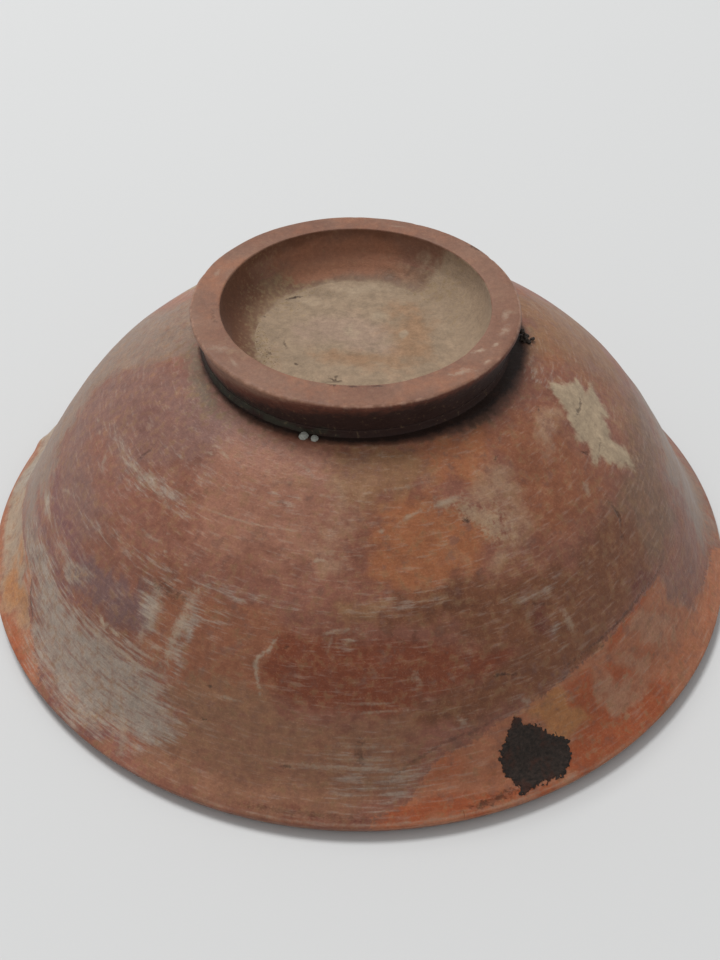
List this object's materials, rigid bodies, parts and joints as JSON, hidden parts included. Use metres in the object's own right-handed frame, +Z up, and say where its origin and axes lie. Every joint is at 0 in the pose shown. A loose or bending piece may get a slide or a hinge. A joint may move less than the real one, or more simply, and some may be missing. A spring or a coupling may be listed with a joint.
{
  "type": "footed bowl",
  "caption": "Round wheel-thrown earthenware bowl with an everted lip, a burnished red slip and a low applied foot ring, shown upside down on its rim.",
  "frame": {"origin": "centre of the rim's resting plane, at the object's base as it stands upside down", "axes": "+Z up through the middle of the foot ring, -Y towards the side that the picture shows, +X to its right"},
  "size_m": [0.22, 0.22, 0.0835],
  "materials": {
    "slip_coated_clay": "burnished red slip over orange earthenware, partly worn and smoke-clouded",
    "turned_clay": "turned orange-brown earthenware, worn pale at the edges",
    "luting_clay": "fired clay slip, wiped with a wet finger",
    "burnt_residue": "matt black crust",
    "lime": "pale, chalky",
    "soil": "dull, grainy"
  },
  "bodies": {
    "root": {"bowl_body": "slip_coated_clay", "foot_ring": "turned_clay", "luting_slip": "luting_clay", "burnt_crust": "burnt_residue", "lime_beads": "lime", "soil_crumb": "soil"}
  },
  "joints": []
}
